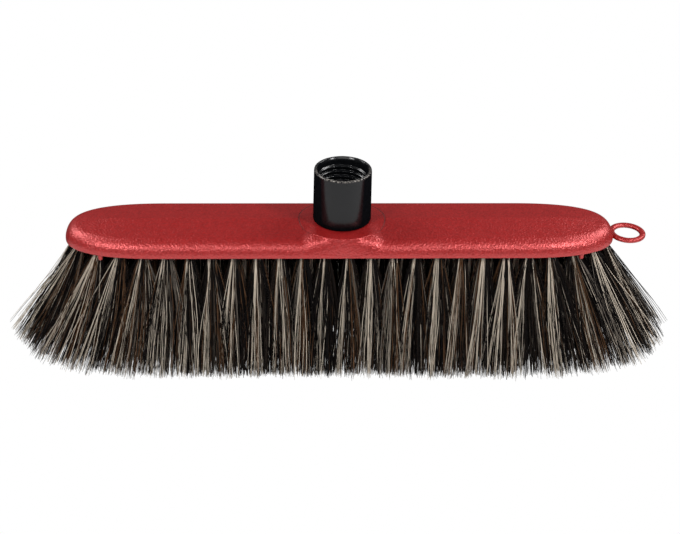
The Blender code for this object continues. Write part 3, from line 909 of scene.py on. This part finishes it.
def painted(tree, factor, colour, paint):
    """A colour that gives way to a plain one where the factor is 1."""
    node = tree.nodes.new("ShaderNodeMix")
    node.data_type = "RGBA"
    node.inputs["B"].default_value = (*paint, 1.0)
    tree.links.new(factor, node.inputs["Factor"])
    tree.links.new(colour, node.inputs["A"])
    return node.outputs["Result"]


def bump(tree, shader, height, distance):
    """Feed a height into the shader's normal."""
    node = tree.nodes.new("ShaderNodeBump")
    node.inputs["Strength"].default_value = 1.0
    node.inputs["Distance"].default_value = distance
    tree.links.new(height, node.inputs["Height"])
    tree.links.new(node.outputs["Normal"], shader.inputs["Normal"])


def groove_shade_mask(tree):
    """Mask for the painted shade in the groove: 1 along the fine line round the pad, fading out at
    the front, and 0 elsewhere.
    """
    place = tree.nodes.new("ShaderNodeTexCoord")
    flat = tree.nodes.new("ShaderNodeVectorMath")
    flat.operation = "MULTIPLY"
    flat.inputs[1].default_value = (1.0, 1.0, 0.0)
    tree.links.new(place.outputs["Object"], flat.inputs[0])
    length = tree.nodes.new("ShaderNodeVectorMath")
    length.operation = "LENGTH"
    tree.links.new(flat.outputs["Vector"], length.inputs[0])
    line = tree.nodes.new("ShaderNodeMath")
    line.operation = "COMPARE"
    line.inputs[1].default_value = GROOVE_RADIUS
    line.inputs[2].default_value = GROOVE_HALF_WIDTH
    tree.links.new(length.outputs["Value"], line.inputs[0])
    back = beyond(tree, "Y", -0.75 * GROOVE_RADIUS, -0.15 * GROOVE_RADIUS)
    return joined(tree, "MULTIPLY", line.outputs["Value"], back)


def red_plastic():
    """Spark-textured red moulding plastic with a soft mottle and painted shade along the pad's fine
    groove.
    """
    material, tree, shader = principled("red_moulding")
    grain = noise(tree, 620, 3.0, 0.7)
    colour = ramp(tree, grain, [(0.36, RED_DARK), (0.64, RED_LIGHT)])
    line = groove_shade_mask(tree)
    # painted shade: the base colour goes dark along the groove's line
    tree.links.new(painted(tree, line, colour, RED_SHADOW), shader.inputs["Base Color"])
    gloss = spread(tree, noise(tree, 220, 4.0, 0.75), 0.34, 0.44)
    tree.links.new(joined(tree, "MAXIMUM", gloss, line), shader.inputs["Roughness"])
    shader.inputs["IOR"].default_value = 1.9
    shader.inputs["Specular IOR Level"].default_value = 1.0
    shader.inputs["Specular Tint"].default_value = (1.0, 0.24, 0.24, 1.0)
    bump(tree, shader, noise(tree, 950, 0.0), 0.23 * MM)
    return material


def flank_gloss(tree):
    """Gloss that fades on upright walls seen edge-on, where nothing bright is reflected."""
    facing = tree.nodes.new("ShaderNodeLayerWeight")
    wall = mapped(tree, facing.outputs["Facing"], 0.31, 0.40, WALL_GLOSS, 0.0)
    surface = tree.nodes.new("ShaderNodeNewGeometry")
    upwards = along_axis(tree, surface.outputs["Normal"], "Z")
    return joined(tree, "MAXIMUM", wall, mapped(tree, upwards, 0.6, 0.8, 0.0, RIM_GLOSS))


def black_plastic():
    """Glossy black moulding plastic with faint scuffs, painted highlights as pale speckles on the
    rim's front, and a dull foot.
    """
    material, tree, shader = principled("black_moulding")
    colour = ramp(tree, noise(tree, 700), [(0.3, BLACK_DARK), (0.7, BLACK_LIGHT)])
    # painted highlight: pale speckles on the rim's front stand in for glints
    glint_speckle = ramp(tree, noise(tree, 1100, 2.0), [(0.46, (0.0, 0.0, 0.0)), (0.62, (1.0, 1.0, 1.0))])
    rim = beyond(tree, "Z", SOCKET_TOP_Z - GLINT_PAINT_START, SOCKET_TOP_Z - GLINT_PAINT_FULL)
    front = beyond(tree, "Y", GLINT_PAINT_BACK_Y, GLINT_PAINT_FRONT_Y)
    painted_glints = joined(tree, "MULTIPLY", joined(tree, "MULTIPLY", glint_speckle, rim), front)
    tree.links.new(painted(tree, painted_glints, colour, RIM_GLINT_PAINT), shader.inputs["Base Color"])
    tree.links.new(spread(tree, noise(tree, 300), 0.17, 0.24), shader.inputs["Roughness"])
    above_foot = beyond(tree, "Z", PAD_Z + FOOT_START, PAD_Z + FOOT_END)
    gloss = joined(tree, "MULTIPLY", flank_gloss(tree), above_foot)
    tree.links.new(gloss, shader.inputs["Specular IOR Level"])
    bump(tree, shader, noise(tree, 160), 0.004 * MM)
    return material


def fibre_materials():
    """One material for each kind of fibre, slightly uneven in its gloss."""
    result = []
    for name, (colour, roughness, _) in FIBRE_KINDS.items():
        material, tree, shader = principled(name)
        shader.inputs["Base Color"].default_value = (*colour, 1.0)
        shader.inputs["Specular IOR Level"].default_value = 0.10
        gloss = spread(tree, noise(tree, 300), roughness - 0.08, roughness + 0.08)
        tree.links.new(gloss, shader.inputs["Roughness"])
        result.append(material)
    return result


# ---------------------------------------------------------------- studio
def seen_as_white(tree, shader):
    """What the camera sees directly is plain white; other rays meet the shader."""
    path = tree.nodes.new("ShaderNodeLightPath")
    white = tree.nodes.new("ShaderNodeEmission")
    mix = tree.nodes.new("ShaderNodeMixShader")
    tree.links.new(path.outputs["Is Camera Ray"], mix.inputs["Fac"])
    tree.links.new(shader.outputs[0], mix.inputs[1])
    tree.links.new(white.outputs[0], mix.inputs[2])
    return mix.outputs[0]


def make_floor():
    """A floor that is white in front of the broom and dark behind it, in its reflections."""
    sheets = Sheets()
    steps = np.linspace(-FLOOR_HALF, FLOOR_HALF, 9)
    sheets.grid([[(float(x), float(y), 0.0) for x in steps] for y in steps])
    material, tree, shader = principled("studio_floor")
    back = beyond(tree, "Y", 0.0, FLOOR_FADE)
    colour = ramp(tree, back, [(0.0, FLOOR_FRONT), (1.0, FLOOR_BACK)])
    tree.links.new(colour, shader.inputs["Base Color"])
    shader.inputs["Roughness"].default_value = 0.9
    shader.inputs["Specular IOR Level"].default_value = 0.1
    surface = seen_as_white(tree, shader)
    tree.links.new(surface, tree.nodes["Material Output"].inputs["Surface"])
    floor = link("studio_floor", sheets.mesh("studio_floor"), material)


def look_at(piece, target, roll=0.0):
    """Turn a camera or light so that it faces the target."""
    aim = Vector(target) - piece.location
    turn = aim.to_track_quat("-Z", "Y").to_matrix().to_4x4()
    piece.matrix_world = Matrix.Translation(piece.location) @ turn @ Matrix.Rotation(roll, 4, "Z")


def add_light(name, azimuth, elevation, distance, size, power):
    """A soft rectangular light; azimuth 0 is in front of the broom and grows to the right."""
    data = bpy.data.lights.new(name, "AREA")
    data.shape = "RECTANGLE"
    data.size, data.size_y = size
    data.energy = power
    lamp = bpy.data.objects.new(name, data)
    bpy.context.scene.collection.objects.link(lamp)
    azimuth = math.radians(azimuth)
    elevation = math.radians(elevation)
    lamp.location = (distance * math.sin(azimuth) * math.cos(elevation),
                     -distance * math.cos(azimuth) * math.cos(elevation),
                     distance * math.sin(elevation))
    look_at(lamp, LIGHT_TARGET)


def make_studio():
    """World, lights and floor."""
    world = bpy.data.worlds.new("studio")
    world.use_nodes = True
    tree = world.node_tree
    background = tree.nodes["Background"]
    background.inputs["Color"].default_value = (1.0, 1.0, 1.0, 1.0)
    background.inputs["Strength"].default_value = WORLD_STRENGTH
    tree.links.new(seen_as_white(tree, background), tree.nodes["World Output"].inputs["Surface"])
    bpy.context.scene.world = world
    for name, light in LIGHTS.items():
        add_light(name, *light)
    make_floor()


def make_camera():
    """A camera in front, a little left of the middle, looking down on the broom."""
    data = bpy.data.cameras.new("camera")
    data.lens = CAMERA_LENS
    data.sensor_width = SENSOR_WIDTH
    camera = bpy.data.objects.new("camera", data)
    bpy.context.scene.collection.objects.link(camera)
    yaw = math.radians(CAMERA_YAW)
    elevation = math.radians(CAMERA_ELEVATION)
    away = Vector((math.sin(yaw) * math.cos(elevation), -math.cos(yaw) * math.cos(elevation),
                   math.sin(elevation)))
    camera.location = Vector(CAMERA_TARGET) + CAMERA_DISTANCE * away
    look_at(camera, CAMERA_TARGET, math.radians(CAMERA_ROLL))
    bpy.context.scene.camera = camera


# ---------------------------------------------------------------- assembly
def main():
    """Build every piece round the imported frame."""
    bpy.context.scene.view_settings.view_transform = "Standard"
    make_camera()
    make_studio()
    outer = outer_root_centres()
    rows = {row: inner_row_centres(row) for row in ROW_PHASES}
    make_block(red_plastic(), outer + [root for row in rows.values() for root in row])
    make_socket(black_plastic())
    fibres = fibre_materials()
    make_outer_tufts(outer, fibres)
    make_inner_rows(rows, fibres)


main()
